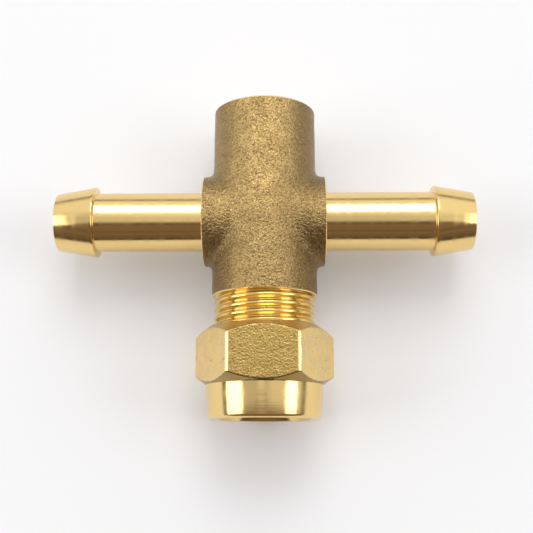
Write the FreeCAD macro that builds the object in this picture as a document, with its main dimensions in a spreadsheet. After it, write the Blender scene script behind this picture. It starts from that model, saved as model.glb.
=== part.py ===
import FreeCAD, Part
import math
import os
import Sketcher

# A brass tee for hoses and pipe: a cast barrel with a hose tail on each side, an open
# socket at one end, and at the other a threaded spigot with a compression nut and ring.
#
# It is drawn lying down, as it rests: X runs along the hose tails, Y along the barrel
# towards the open socket, and Z is up. Each piece is drawn about the crossing of the tail
# axis and the barrel axis, and its Placement then lifts it onto the flat of the nut.
# A "reach" is a distance from that crossing, along the barrel or along a tail.

DOC = FreeCAD.newDocument("hose_tee")
X = FreeCAD.Vector(1, 0, 0)
Y = FreeCAD.Vector(0, 1, 0)
SKETCH_START = 30.0
NEAR = 0.01
SMALLEST_CUT = 1.0

# A sketch starts SKETCH_START mm wide, and its rules then give it its size. Lengths and
# places count as the same when they are NEAR mm apart. A cut takes SMALLEST_CUT mm3 or more.
# Every size below is in millimetres, or degrees for an angle, and stands there once.
SIZES = (
    ("barrel_top_diameter", 17.2, "cast barrel at the open end; the pattern tapers"),
    ("barrel_foot_diameter", 17.5, "cast barrel at the end above the thread"),
    ("barrel_top_reach", 19.4, "crossing to the open end"),
    ("barrel_foot_reach", 13.0, "crossing to the machined shoulder over the thread"),
    ("barrel_edge_break", 0.3, "outer edge at both ends of the barrel"),
    ("boss_diameter", 15.1, "round boss that carries each tail"),
    ("boss_stand_out", 1.45, "how far a boss stands out from the side of the barrel"),
    ("boss_edge_break", 0.35, "outer edge of a boss"),
    ("boss_fillet", 1.0, "cast fillet between boss and barrel"),
    ("tail_diameter", 9.9, "turned stem of a hose tail"),
    ("tail_reach", 34.9, "crossing to the end of a tail"),
    ("tail_bore", 7.0, "water passage through both tails"),
    ("barb_diameter", 11.9, "crest of the barb"),
    ("barb_back_reach", 28.3, "crossing to the square back of the barb"),
    ("barb_land", 0.3, "flat crest of the barb"),
    ("barb_nose_diameter", 9.7, "small end of the barb's cone"),
    ("barb_nose_break", 0.25, "outer edge at the end of a tail"),
    ("thread_diameter", 16.66, "3/8 inch pipe thread, over the crests; its turns aren't cut"),
    ("thread_end_chamfer", 0.8, "lead-in at the end of the spigot"),
    ("spigot_reach", 25.2, "crossing to the end of the spigot"),
    ("waterway_diameter", 9.5, "bore down the middle of the barrel"),
    ("socket_bore", 12.1, "plain socket for a 12 mm pipe, at the open end"),
    ("socket_depth", 10.0, "how far a pipe enters the socket"),
    ("socket_chamfer", 0.5, "lead-in of the socket"),
    ("pipe_bore", 12.2, "bore of the spigot for a 12 mm pipe"),
    ("pipe_stop_reach", 14.5, "crossing to the step that stops the pipe"),
    ("cone_mouth_diameter", 14.0, "mouth of the spigot's cone for the ring"),
    ("ring_angle", 30.0, "slope of the ring's cones, from the axis"),
    ("ring_bore", 12.2, "hole of the compression ring"),
    ("ring_diameter", 14.3, "compression ring over its middle"),
    ("ring_end_diameter", 12.8, "compression ring at each end"),
    ("ring_land", 1.6, "straight middle of the ring"),
    ("ring_gap", 0.15, "gap along the axis at each end of the ring, nut hand-tight"),
    ("nut_top_reach", 18.1, "crossing to the nut's face on the thread side"),
    ("hex_across_flats", 20.0, "spanner size"),
    ("hex_height", 9.3, "hexagon, along the axis"),
    ("hex_top_circle", 19.7, "circle where the top chamfer starts"),
    ("hex_top_angle", 38.0, "slope of the top chamfer, from the face"),
    ("hex_low_angle", 33.0, "slope of the lower chamfer, from the face"),
    ("collar_diameter", 19.25, "turned collar, next to the hexagon"),
    ("collar_end_diameter", 18.4, "turned collar, at its end"),
    ("collar_height", 5.7, "turned collar, along the axis"),
    ("collar_edge_break", 0.45, "outer edge at the end of the collar"),
    ("nut_running_gap", 0.06, "gap between the nut and the crests of the spigot's thread"),
    ("nut_top_chamfer", 0.5, "lead-in of the nut's thread"),
    ("nut_seat_angle", 45.0, "slope of the cone that presses on the ring"),
    ("nut_pipe_hole", 12.4, "hole of the nut for the pipe"),
    ("mouth_diameter", 15.2, "wide end of the chamfer at the nut's mouth"),
    ("mouth_chamfer", 1.4, "depth of the chamfer at the nut's mouth"),
)

# Where things meet, worked out once from the sizes above.
BOSS_REACH = "(Sizes.barrel_foot_diameter / 2 + Sizes.boss_stand_out)"
HEX_CORNER = "(Sizes.hex_across_flats / 2 / cos(30))"
NUT_BORE = "(Sizes.thread_diameter / 2 + Sizes.nut_running_gap)"
HEX_TOP = "Sizes.nut_top_reach"
HEX_LOW = "(Sizes.nut_top_reach + Sizes.hex_height)"
NUT_END = "(Sizes.nut_top_reach + Sizes.hex_height + Sizes.collar_height)"
RING_TOP = (
    "(Sizes.spigot_reach + Sizes.ring_gap"
    " - (Sizes.cone_mouth_diameter - Sizes.ring_end_diameter) / 2 / tan(Sizes.ring_angle))"
)
RING_CONE = "((Sizes.ring_diameter - Sizes.ring_end_diameter) / 2 / tan(Sizes.ring_angle))"
RING_END = f"({RING_TOP} + 2 * {RING_CONE} + Sizes.ring_land)"
SEAT_START = (
    f"({RING_END} + Sizes.ring_gap"
    f" - ({NUT_BORE} - Sizes.ring_end_diameter / 2) / tan(Sizes.nut_seat_angle))"
)
SEAT_END = f"({SEAT_START} + ({NUT_BORE} - Sizes.nut_pipe_hole / 2) / tan(Sizes.nut_seat_angle))"
PAST_TAILS = "(2 * Sizes.tail_reach + Sizes.boss_diameter)"
PAST_NUT = f"(2 * {NUT_END} + Sizes.hex_height)"


def write_sizes():
    """Put the sizes in the document's sheet, each under its own name."""
    sheet = DOC.addObject("Spreadsheet::Sheet", "Sizes")
    for row, (name, number, meaning) in enumerate(SIZES, start=1):
        sheet.set(f"A{row}", name)
        sheet.set(f"B{row}", str(number))
        sheet.set(f"C{row}", meaning)
        sheet.setAlias(f"B{row}", name)
    DOC.recompute()
    return sheet


def new_body(name):
    """A piece drawn about the crossing, lifted so that the nut's flat lies at Z = 0."""
    body = DOC.addObject("PartDesign::Body", name)
    body.Label = name
    body.setExpression("Placement.Base.y", f"({NUT_END} - Sizes.barrel_top_reach) / 2")
    body.setExpression("Placement.Base.z", "Sizes.hex_across_flats / 2")
    return body


def origin_plane(body, role):
    return next(plane for plane in body.Origin.OriginFeatures if plane.Role == role)


def new_sketch(body, name, role):
    sketch = body.newObject("Sketcher::SketchObject", name)
    sketch.AttachmentSupport = [(origin_plane(body, role), "")]
    sketch.MapMode = "FlatFace"
    return sketch


def outline(body, name, role, corners):
    """A closed outline of straight sides through corners, each an (across, along) pair of
    rules in the sheet's names. "0" puts the corner on an axis. The corners start evenly
    round a circle, a little turned so that none of them starts on an axis."""
    sketch = new_sketch(body, name, role)
    count = len(corners)
    start = []
    for number in range(count):
        turn = 2 * math.pi * (number + 1 / 3) / count
        start.append(FreeCAD.Vector(math.cos(turn), math.sin(turn), 0) * SKETCH_START)
    for number in range(count):
        sketch.addGeometry(Part.LineSegment(start[number], start[(number + 1) % count]), False)
    for number in range(count):
        after = (number + 1) % count
        sketch.addConstraint(Sketcher.Constraint("Coincident", number, 2, after, 1))
    for number, (across, along) in enumerate(corners):
        hold(sketch, number, "DistanceX", across, start[number].x, -2)
        hold(sketch, number, "DistanceY", along, start[number].y, -1)
    return sketch


def hold(sketch, number, direction, rule, start, axis):
    """Keep the first point of side `number` on an axis, or at the distance that a rule gives."""
    if rule == "0":
        sketch.addConstraint(Sketcher.Constraint("PointOnObject", number, 1, axis))
        return
    place = sketch.addConstraint(Sketcher.Constraint(direction, -1, 1, number, 1, start))
    sketch.setExpression(f"Constraints[{place}]", rule)


def start_circle(radius):
    return Part.Circle(FreeCAD.Vector(0, 0, 0), FreeCAD.Vector(0, 0, 1), radius)


def circle(body, name, role, diameter):
    """A circle about the origin, with its diameter from a rule."""
    sketch = new_sketch(body, name, role)
    sketch.addGeometry(start_circle(SKETCH_START), False)
    sketch.addConstraint(Sketcher.Constraint("Coincident", 0, 3, -1, 1))
    place = sketch.addConstraint(Sketcher.Constraint("Diameter", 0, 2 * SKETCH_START))
    sketch.setExpression(f"Constraints[{place}]", diameter)
    return sketch


def turned(body, kind, name, corners, axis="V_Axis"):
    """A Revolution or Groove of an outline in the XY plane, about Y or, with H_Axis, about X."""
    sketch = outline(body, name + "Outline", "XY_Plane", corners)
    feature = body.newObject(f"PartDesign::{kind}", name)
    feature.Profile = sketch
    feature.ReferenceAxis = (sketch, [axis])
    feature.Angle = 360
    DOC.recompute()
    return feature


def half(name):
    return f"Sizes.{name} / 2"


def down(reach):
    """A place below the crossing, from its reach."""
    return f"-{reach}"


def edges_where(feature, test):
    """Names of a feature's edges that pass a test."""
    edges = enumerate(feature.Shape.Edges, start=1)
    return [f"Edge{number}" for number, edge in edges if test(edge)]


def is_circle(edge, diameter, axis, place=None):
    """Whether an edge is a circle of a diameter about an axis, at a place along it."""
    curve = edge.Curve
    if not isinstance(curve, Part.Circle):
        return False
    if abs(abs(curve.Axis.dot(axis)) - 1) > NEAR or abs(curve.Radius - diameter / 2) > NEAR:
        return False
    return place is None or abs(abs(curve.Center.dot(axis)) - place) < NEAR


def dressed(body, kind, name, feature, edges, rule):
    """A Fillet or Chamfer on the named edges of a feature."""
    if not edges:
        raise RuntimeError(f"{name}: no edge found")
    result = body.newObject(f"PartDesign::{kind}", name)
    result.Base = (feature, edges)
    result.setExpression("Radius" if kind == "Fillet" else "Size", rule)
    DOC.recompute()
    return result


def checked_cut(body, before, name):
    """The volume of a cut must be lost from the body, or the cut points the wrong way."""
    after = body.Shape.Volume
    if after > before - SMALLEST_CUT:
        raise RuntimeError(f"{name} cut nothing")
    return after


def tee_body(sheet):
    """The casting with its machined tails, spigot and bores."""
    body = new_body("tee_body")
    barrel_and_spigot(body)
    bosses(body, sheet)
    tails(body, sheet)
    bores(body)
    return body


def barrel_and_spigot(body):
    """Tapered barrel, the shoulder over the thread, and the spigot with its lead-in chamfer."""
    corners = (
        ("0", "Sizes.barrel_top_reach"),
        (half("barrel_top_diameter"), "Sizes.barrel_top_reach"),
        (half("barrel_foot_diameter"), down("Sizes.barrel_foot_reach")),
        (half("thread_diameter"), down("Sizes.barrel_foot_reach")),
        (half("thread_diameter"), "Sizes.thread_end_chamfer - Sizes.spigot_reach"),
        ("Sizes.thread_diameter / 2 - Sizes.thread_end_chamfer", down("Sizes.spigot_reach")),
        ("0", down("Sizes.spigot_reach")),
    )
    return turned(body, "Revolution", "Barrel", corners)


def bosses(body, sheet):
    """A round boss on each side, filleted into the barrel as cast."""
    sketch = circle(body, "BossCircle", "YZ_Plane", "Sizes.boss_diameter")
    boss = body.newObject("PartDesign::Pad", "Bosses")
    boss.Profile = sketch
    boss.Midplane = True
    boss.setExpression("Length", f"2 * {BOSS_REACH}")
    DOC.recompute()
    face = boss.Length.Value / 2

    def joins_barrel(edge):
        box = edge.BoundBox
        inside = max(abs(box.XMin), abs(box.XMax)) < face - NEAR
        return inside and box.ZLength > NEAR and not isinstance(edge.Curve, (Part.Line, Part.Circle))

    roots = edges_where(boss, joins_barrel)
    root = dressed(body, "Fillet", "BossRoot", boss, roots, "Sizes.boss_fillet")
    rims = edges_where(root, lambda edge: is_circle(edge, sheet.boss_diameter, X, face))
    rims = dressed(body, "Chamfer", "BossRim", root, rims, "Sizes.boss_edge_break")

    def ends_barrel(edge):
        top = is_circle(edge, sheet.barrel_top_diameter, Y, sheet.barrel_top_reach)
        return top or is_circle(edge, sheet.barrel_foot_diameter, Y, sheet.barrel_foot_reach)

    edges = edges_where(rims, ends_barrel)
    return dressed(body, "Chamfer", "BarrelEdges", rims, edges, "Sizes.barrel_edge_break")


def tails(body, sheet):
    """The turned hose tails: one is drawn on the +X side, and the other is its mirror."""
    corners = (
        ("0", "0"),
        ("0", half("tail_diameter")),
        ("Sizes.barb_back_reach", half("tail_diameter")),
        ("Sizes.barb_back_reach", half("barb_diameter")),
        ("Sizes.barb_back_reach + Sizes.barb_land", half("barb_diameter")),
        ("Sizes.tail_reach", half("barb_nose_diameter")),
        ("Sizes.tail_reach", "0"),
    )
    tail = turned(body, "Revolution", "Tail", corners, "H_Axis")
    mirror = body.newObject("PartDesign::Mirrored", "OtherTail")
    mirror.Originals = [tail]
    mirror.MirrorPlane = (origin_plane(body, "YZ_Plane"), [""])
    body.Tip = mirror
    DOC.recompute()
    noses = edges_where(
        mirror, lambda edge: is_circle(edge, sheet.barb_nose_diameter, X, sheet.tail_reach)
    )
    return dressed(body, "Chamfer", "NoseEdges", mirror, noses, "Sizes.barb_nose_break")


def bores(body):
    """The stepped bore down the barrel, and the straight one through both tails."""
    before = body.Shape.Volume
    cone = "(Sizes.cone_mouth_diameter - Sizes.pipe_bore) / 2 / tan(Sizes.ring_angle)"
    corners = (
        ("0", "Sizes.barrel_top_reach"),
        ("Sizes.socket_bore / 2 + Sizes.socket_chamfer", "Sizes.barrel_top_reach"),
        (half("socket_bore"), "Sizes.barrel_top_reach - Sizes.socket_chamfer"),
        (half("socket_bore"), "Sizes.barrel_top_reach - Sizes.socket_depth"),
        (half("waterway_diameter"), "Sizes.barrel_top_reach - Sizes.socket_depth"),
        (half("waterway_diameter"), down("Sizes.pipe_stop_reach")),
        (half("pipe_bore"), down("Sizes.pipe_stop_reach")),
        (half("pipe_bore"), f"{cone} - Sizes.spigot_reach"),
        (half("cone_mouth_diameter"), down("Sizes.spigot_reach")),
        ("0", down("Sizes.spigot_reach")),
    )
    turned(body, "Groove", "BarrelBore", corners)
    before = checked_cut(body, before, "BarrelBore")
    sketch = circle(body, "TailBoreCircle", "YZ_Plane", "Sizes.tail_bore")
    bore = body.newObject("PartDesign::Pocket", "TailBore")
    bore.Profile = sketch
    bore.Midplane = True
    bore.setExpression("Length", PAST_TAILS)
    DOC.recompute()
    checked_cut(body, before, "TailBore")
    return bore


def compression_nut(sheet):
    """A turned blank with both hexagon chamfers and the collar, milled to a hexagon and bored."""
    body = new_body("compression_nut")
    corner = HEX_CORNER
    top_drop = f"({corner} - Sizes.hex_top_circle / 2) * tan(Sizes.hex_top_angle)"
    low_drop = f"({corner} - Sizes.collar_diameter / 2) * tan(Sizes.hex_low_angle)"
    corners = (
        ("0", down(HEX_TOP)),
        (half("hex_top_circle"), down(HEX_TOP)),
        (corner, f"-({HEX_TOP} + {top_drop})"),
        (corner, f"-({HEX_LOW} - {low_drop})"),
        (half("collar_diameter"), down(HEX_LOW)),
        (half("collar_end_diameter"), down(NUT_END)),
        ("0", down(NUT_END)),
    )
    blank = turned(body, "Revolution", "Blank", corners)
    edge = edges_where(blank, lambda edge: is_circle(edge, sheet.collar_end_diameter, Y))
    dressed(body, "Chamfer", "CollarEdge", blank, edge, "Sizes.collar_edge_break")
    before = body.Shape.Volume
    mill_flats(body, sheet)
    before = checked_cut(body, before, "Flats")
    corners = (
        ("0", down(HEX_TOP)),
        (f"{NUT_BORE} + Sizes.nut_top_chamfer", down(HEX_TOP)),
        (NUT_BORE, f"-({HEX_TOP} + Sizes.nut_top_chamfer)"),
        (NUT_BORE, down(SEAT_START)),
        (half("nut_pipe_hole"), down(SEAT_END)),
        (half("nut_pipe_hole"), f"Sizes.mouth_chamfer - {NUT_END}"),
        (half("mouth_diameter"), down(NUT_END)),
        ("0", down(NUT_END)),
    )
    turned(body, "Groove", "NutBore", corners)
    checked_cut(body, before, "NutBore")
    return body


def mill_flats(body, sheet):
    """Cut away what lies outside the hexagon, with two of its flats level."""
    sketch = new_sketch(body, "HexagonOutline", "XZ_Plane")
    corner = sheet.hex_across_flats / 2 / math.cos(math.radians(30))
    points = []
    for number in range(6):
        turn = math.radians(60 * number)
        points.append(FreeCAD.Vector(math.cos(turn), math.sin(turn), 0) * corner)
    for number in range(6):
        sketch.addGeometry(Part.LineSegment(points[number], points[(number + 1) % 6]), False)
    guide = sketch.addGeometry(start_circle(corner), True)
    outer = sketch.addGeometry(start_circle(2 * corner), False)
    for number in range(6):
        sketch.addConstraint(Sketcher.Constraint("Coincident", number, 2, (number + 1) % 6, 1))
        sketch.addConstraint(Sketcher.Constraint("PointOnObject", number, 1, guide))
        if number:
            sketch.addConstraint(Sketcher.Constraint("Equal", 0, number))
    sketch.addConstraint(Sketcher.Constraint("Coincident", guide, 3, -1, 1))
    sketch.addConstraint(Sketcher.Constraint("Coincident", outer, 3, -1, 1))
    sketch.addConstraint(Sketcher.Constraint("PointOnObject", 0, 1, -1))
    wide = sketch.addConstraint(Sketcher.Constraint("Radius", guide, corner))
    sketch.setExpression(f"Constraints[{wide}]", HEX_CORNER)
    clear = sketch.addConstraint(Sketcher.Constraint("Radius", outer, 2 * corner))
    sketch.setExpression(f"Constraints[{clear}]", f"2 * {HEX_CORNER}")
    flats = body.newObject("PartDesign::Pocket", "Flats")
    flats.Profile = sketch
    flats.Midplane = True
    flats.setExpression("Length", PAST_NUT)
    DOC.recompute()
    return flats


def compression_ring():
    """The ring between the spigot's cone and the nut's cone: a tube with both ends tapered."""
    body = new_body("compression_ring")
    corners = (
        (half("ring_bore"), down(RING_TOP)),
        (half("ring_end_diameter"), down(RING_TOP)),
        (half("ring_diameter"), f"-({RING_TOP} + {RING_CONE})"),
        (half("ring_diameter"), f"-({RING_TOP} + {RING_CONE} + Sizes.ring_land)"),
        (half("ring_end_diameter"), down(RING_END)),
        (half("ring_bore"), down(RING_END)),
    )
    turned(body, "Revolution", "Ring", corners)
    return body


def check_document():
    """Stop if any object failed to build, because a recompute doesn't say so."""
    DOC.recompute()
    for item in DOC.Objects:
        for word in ("Invalid", "Error"):
            if word in item.State:
                raise RuntimeError(f"{item.Name} is {item.State}")


def export(bodies):
    """Write each piece to its own STEP file, after a check of its solid."""
    os.makedirs("parts", exist_ok=True)
    for body in bodies:
        shape = body.Shape
        if shape.isNull() or not shape.isValid() or len(shape.Solids) != 1:
            raise RuntimeError(f"{body.Label} isn't one valid solid")
        shape.exportStep(f"parts/{body.Label}.step")
        box = shape.BoundBox
        print(f"{body.Label}: volume {shape.Volume:.1f} mm3, faces {len(shape.Faces)}")
        print(f"  X {box.XMin:.2f} {box.XMax:.2f}  Y {box.YMin:.2f} {box.YMax:.2f}"
              f"  Z {box.ZMin:.2f} {box.ZMax:.2f}")


def main():
    sheet = write_sizes()
    bodies = [tee_body(sheet), compression_nut(sheet), compression_ring()]
    check_document()
    export(bodies)


main()
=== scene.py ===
# %% [markdown]
# # A brass hose tee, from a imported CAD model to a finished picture
#
# The real object is a cast brass tee with two turned hose tails, a threaded spigot, and a
# compression nut with its ring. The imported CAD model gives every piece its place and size.
# This lesson remakes the three pieces with the skin, the thread and the edges that the
# CAD solids leave plain, and gives each surface the finish that its making left on it.

# %% Load the frame
import math

import bpy
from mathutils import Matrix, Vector


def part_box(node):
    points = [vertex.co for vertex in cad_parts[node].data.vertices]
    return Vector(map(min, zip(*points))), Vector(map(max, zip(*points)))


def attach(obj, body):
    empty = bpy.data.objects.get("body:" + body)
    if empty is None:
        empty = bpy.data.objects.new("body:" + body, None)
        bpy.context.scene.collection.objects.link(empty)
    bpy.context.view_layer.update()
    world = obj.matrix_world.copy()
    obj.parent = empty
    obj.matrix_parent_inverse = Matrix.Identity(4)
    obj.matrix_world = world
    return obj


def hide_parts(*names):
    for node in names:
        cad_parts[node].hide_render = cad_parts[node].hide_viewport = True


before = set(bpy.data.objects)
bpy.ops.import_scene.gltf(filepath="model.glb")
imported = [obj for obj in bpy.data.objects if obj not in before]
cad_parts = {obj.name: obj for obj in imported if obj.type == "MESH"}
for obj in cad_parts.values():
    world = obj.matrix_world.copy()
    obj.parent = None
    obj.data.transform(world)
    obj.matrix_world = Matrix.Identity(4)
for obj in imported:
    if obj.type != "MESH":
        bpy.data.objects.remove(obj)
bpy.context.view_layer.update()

# %% [markdown]
# ## The sizes that the pieces share
#
# The CAD boxes say where the axes of the barrel and of the tails cross, and how far the
# pieces reach. The rest are the sizes of turned and cast forms that a box can't tell. A
# "reach" is a distance from that crossing, towards the open end of the barrel or, on a
# tail, away from the barrel. All lengths are in metres, written as millimetres times MM.

# %% Places from the frame, and sizes in millimetres
MM = 0.001
tee_low, tee_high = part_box("tee_body")
nut_low, nut_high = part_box("compression_nut")
ring_low, ring_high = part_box("compression_ring")

BARREL_TOP = 19.4 * MM
CROSSING = Vector((0, tee_high.y - BARREL_TOP, (tee_low.z + tee_high.z) / 2))
SPIGOT_END = CROSSING.y - tee_low.y
TAIL_END = tee_high.x
NUT_TOP = CROSSING.y - nut_high.y
NUT_END = CROSSING.y - nut_low.y
RING_TOP = CROSSING.y - ring_high.y
RING_END = CROSSING.y - ring_low.y
ALONG_TAIL = Vector((1, 0, 0))
ALONG_BARREL = Vector((0, 1, 0))
UP = Vector((0, 0, 1))

BARREL_FOOT = 13.0 * MM
BARREL_TOP_RADIUS = 8.6 * MM
BARREL_FOOT_RADIUS = 8.75 * MM
BOSS_REACH = 10.2 * MM
BOSS_RADIUS = 7.55 * MM
TAIL_RADIUS = 4.95 * MM
TAIL_BORE = 3.5 * MM
WATERWAY = 4.75 * MM
STEPS = 144
SAME_PLACE = 0.0005 * MM
print(f"crossing at {tuple(round(c / MM, 2) for c in CROSSING)} mm")

# %% [markdown]
# ## The camera
#
# The photograph looks down on the part from a little below its middle, so the nut's mouth
# just shows and the barrel's top face doesn't. The distance follows from how much the
# nearer end of the part grows, and the lens from how large the part is in the picture.

# %% Place the camera
VIEW_DISTANCE = 151.0 * MM
VIEW_TILT = math.radians(12.25)
VIEW_SIDE = math.radians(1.05)
SENSOR = 36.0
PHOTO_WIDTH = 533
PIXELS_PER_MM = 5.96
AIM = CROSSING + Vector((0.31, -7.73, 0)) * MM

camera = bpy.data.objects.new("camera", bpy.data.cameras.new("camera"))
bpy.context.scene.collection.objects.link(camera)
camera.rotation_euler = (VIEW_TILT, VIEW_SIDE, 0)
camera.location = AIM + camera.rotation_euler.to_matrix() @ (UP * VIEW_DISTANCE)
camera.data.sensor_width = SENSOR
camera.data.lens = SENSOR * VIEW_DISTANCE / MM * PIXELS_PER_MM / PHOTO_WIDTH
camera.data.clip_start = 10 * MM
bpy.context.scene.camera = camera
print(f"lens {camera.data.lens:.1f} mm")

# %% [markdown]
# ## Helpers for shaping by hand
#
# Every turned form starts as a plane that is merged into one point. The point is extruded
# along the outline, chosen corners are beveled into rounds, and the outline is spun about
# the axis, as a lathe would sweep the tool. An operator works on all that is selected, so
# each helper first clears the selection and then picks what it needs by place.

# %% Selection helpers
def close():
    bpy.ops.object.mode_set(mode="OBJECT")


def close_if_open():
    if bpy.context.mode != "OBJECT":
        close()


def select_only(piece):
    """In object mode, select one piece and make it the active one."""
    close_if_open()
    bpy.ops.object.select_all(action="DESELECT")
    piece.select_set(True)
    bpy.context.view_layer.objects.active = piece


def edit(piece):
    """Open one piece in edit mode, with nothing selected."""
    select_only(piece)
    bpy.ops.object.mode_set(mode="EDIT")
    bpy.ops.mesh.select_mode(type="VERT")
    bpy.ops.mesh.select_all(action="DESELECT")


def pick(piece, kind, test):
    """In edit mode, select exactly the vertices, edges or faces that pass a test on their
    centre, and return how many there are."""
    bpy.ops.mesh.select_mode(type=kind)
    bpy.ops.object.mode_set(mode="OBJECT")
    mesh = piece.data
    for group in (mesh.vertices, mesh.edges, mesh.polygons):
        group.foreach_set("select", [False] * len(group))
    count = 0
    for item in getattr(mesh, {"VERT": "vertices", "EDGE": "edges", "FACE": "polygons"}[kind]):
        if test(item):
            item.select = True
            count += 1
    bpy.ops.object.mode_set(mode="EDIT")
    return count


def rim(piece, test):
    """In edit mode, select the open edges whose two ends pass a test."""
    bpy.ops.mesh.select_mode(type="EDGE")
    bpy.ops.mesh.select_all(action="DESELECT")
    bpy.ops.mesh.select_non_manifold(extend=False)
    bpy.ops.object.mode_set(mode="OBJECT")
    points = piece.data.vertices
    for edge in piece.data.edges:
        edge.select = edge.select and all(test(points[v].co) for v in edge.vertices)
    for face in piece.data.polygons:
        face.select = False
    for point in points:
        point.select = False
    for edge in piece.data.edges:
        if edge.select:
            for v in edge.vertices:
                points[v].select = True
    bpy.ops.object.mode_set(mode="EDIT")


def cut_square(place, direction):
    """In edit mode, cut off all that lies beyond a place in a direction."""
    bpy.ops.mesh.select_all(action="SELECT")
    bpy.ops.mesh.bisect(plane_co=place, plane_no=direction, clear_outer=True, threshold=SAME_PLACE)


def use_modifier(piece, kind, **settings):
    """Add a modifier with its settings and apply it."""
    bpy.context.view_layer.objects.active = piece
    modifier = piece.modifiers.new(kind.lower(), kind)
    for name, value in settings.items():
        setattr(modifier, name, value)
    bpy.ops.object.modifier_apply(modifier=modifier.name)


def merge_pieces(first, *others):
    """Join pieces into the first one and weld the points that meet."""
    close_if_open()
    bpy.ops.object.select_all(action="DESELECT")
    for piece in (first, *others):
        piece.select_set(True)
    bpy.context.view_layer.objects.active = first
    bpy.ops.object.join()
    edit(first)
    bpy.ops.mesh.select_all(action="SELECT")
    bpy.ops.mesh.remove_doubles(threshold=SAME_PLACE)
    close()
    return first


# %% A lathe: an outline of stations, spun about the barrel's or the tails' axis
def station_point(axis, reach, radius):
    across = UP if axis == ALONG_TAIL else ALONG_TAIL
    return CROSSING + axis * reach + across * radius


def wire(name, points):
    """A line of vertices, extruded point by point from a plane merged into one point."""
    close_if_open()
    bpy.ops.object.select_all(action="DESELECT")
    bpy.ops.mesh.primitive_plane_add(size=MM)
    piece = bpy.context.object
    piece.name = name
    bpy.ops.object.mode_set(mode="EDIT")
    bpy.ops.mesh.select_mode(type="VERT")
    bpy.ops.mesh.select_all(action="SELECT")
    bpy.ops.mesh.merge(type="CENTER")
    bpy.ops.transform.translate(value=points[0])
    for before, after in zip(points, points[1:]):
        bpy.ops.mesh.extrude_region_move(TRANSFORM_OT_translate={"value": after - before})
    return piece


def turned(name, axis, stations, close_ends=False):
    """Spin an outline of (reach, radius) or (reach, radius, round) stations about an axis.
    A round is how far back from its corner the curve begins."""
    points = [station_point(axis, station[0], station[1]) for station in stations]
    if close_ends:
        points = [station_point(axis, stations[0][0], 0), *points]
        points.append(station_point(axis, stations[-1][0], 0))
    piece = wire(name, points)
    for station in stations:
        if len(station) > 2:
            corner = station_point(axis, station[0], station[1])
            pick(piece, "VERT", lambda point: (point.co - corner).length < SAME_PLACE)
            bpy.ops.mesh.bevel(offset=station[2], segments=4, affect="VERTICES")
    bpy.ops.mesh.select_mode(type="VERT")
    bpy.ops.mesh.select_all(action="SELECT")
    bpy.ops.mesh.spin(steps=STEPS, angle=2 * math.pi, center=CROSSING, axis=axis)
    bpy.ops.mesh.select_all(action="SELECT")
    bpy.ops.mesh.remove_doubles(threshold=SAME_PLACE)
    bpy.ops.mesh.normals_make_consistent(inside=False)
    close()
    print("   ", name, len(piece.data.polygons))
    return piece


def from_axis(point, axis):
    """How far a point lies from the barrel's or the tails' axis."""
    offset = point - CROSSING
    return (offset - axis * offset.dot(axis)).length


# %% [markdown]
# ## The casting
#
# The real tee is cast in sand: a barrel with a round boss on each side, joined by a soft
# fillet, and covered with the grain of the mould. A bevel can't follow that joint well, so
# both forms are overlapped and remeshed into one skin of small even faces. The points
# near the joint are then smoothed many times, which fills the corner as molten brass
# does. Both forms are a little too long at first, because the real ends are machined.

# %% Barrel and bosses, remeshed into one skin
SPARE = 1.2 * MM
VOXEL = 0.2 * MM
FILLET_ZONE = 1.15 * MM
FILLET_ROUNDS = 90
SKIN_ROUNDS = 3

barrel = turned("barrel", ALONG_BARREL, (
    (BARREL_TOP + SPARE, BARREL_TOP_RADIUS),
    (-BARREL_FOOT - SPARE, BARREL_FOOT_RADIUS),
), close_ends=True)
boss = turned("boss", ALONG_TAIL, (
    (BOSS_REACH + SPARE, BOSS_RADIUS),
    (-BOSS_REACH - SPARE, BOSS_RADIUS),
), close_ends=True)
casting = merge_pieces(barrel, boss)
casting.name = "casting"
use_modifier(casting, "REMESH", mode="VOXEL", voxel_size=VOXEL)


def near_joint(point):
    off_barrel = from_axis(point.co, ALONG_BARREL) - BARREL_FOOT_RADIUS
    off_boss = from_axis(point.co, ALONG_TAIL) - BOSS_RADIUS
    return off_barrel < FILLET_ZONE and off_boss < FILLET_ZONE


edit(casting)
joint_points = pick(casting, "VERT", near_joint)
bpy.ops.mesh.vertices_smooth(factor=0.5, repeat=FILLET_ROUNDS)
bpy.ops.mesh.select_all(action="SELECT")
bpy.ops.mesh.vertices_smooth(factor=0.5, repeat=SKIN_ROUNDS)
close()
print(f"casting: {len(casting.data.polygons)} faces, {joint_points} points in the joint")

# %% [markdown]
# The grain of the sand stands out as real relief, because light catches each lump. A
# fine noise gives the lumps and a coarse one the uneven wall. Both move the skin in and out
# by a few hundredths of a millimetre, so the casting keeps its size.

# %% Sand grain as relief
GRAINS = (
    ("mould_wall", 3.4 * MM, 0.10 * MM),
    ("sand_lumps", 0.42 * MM, 0.13 * MM),
)


def roughen(piece, name, size, height, level=0.5):
    """Move the skin in and out by a cloud noise of a size and a height. A level of 1 only
    moves it in."""
    noise = bpy.data.textures.new(name, "CLOUDS")
    noise.noise_scale = size
    noise.noise_depth = 1
    noise.noise_basis = "IMPROVED_PERLIN"
    use_modifier(piece, "DISPLACE", texture=noise, strength=height, mid_level=level)


for name, size, height in GRAINS:
    roughen(casting, name, size, height)

# %% [markdown]
# The four ends are cut flat, as a facing tool does, and each open rim is drawn out and in
# a little, which leaves the narrow bright edge that the photograph shows on the bosses. A
# facing tool also leaves the middle of a face a trace lower than its rim, the dish here.

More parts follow.
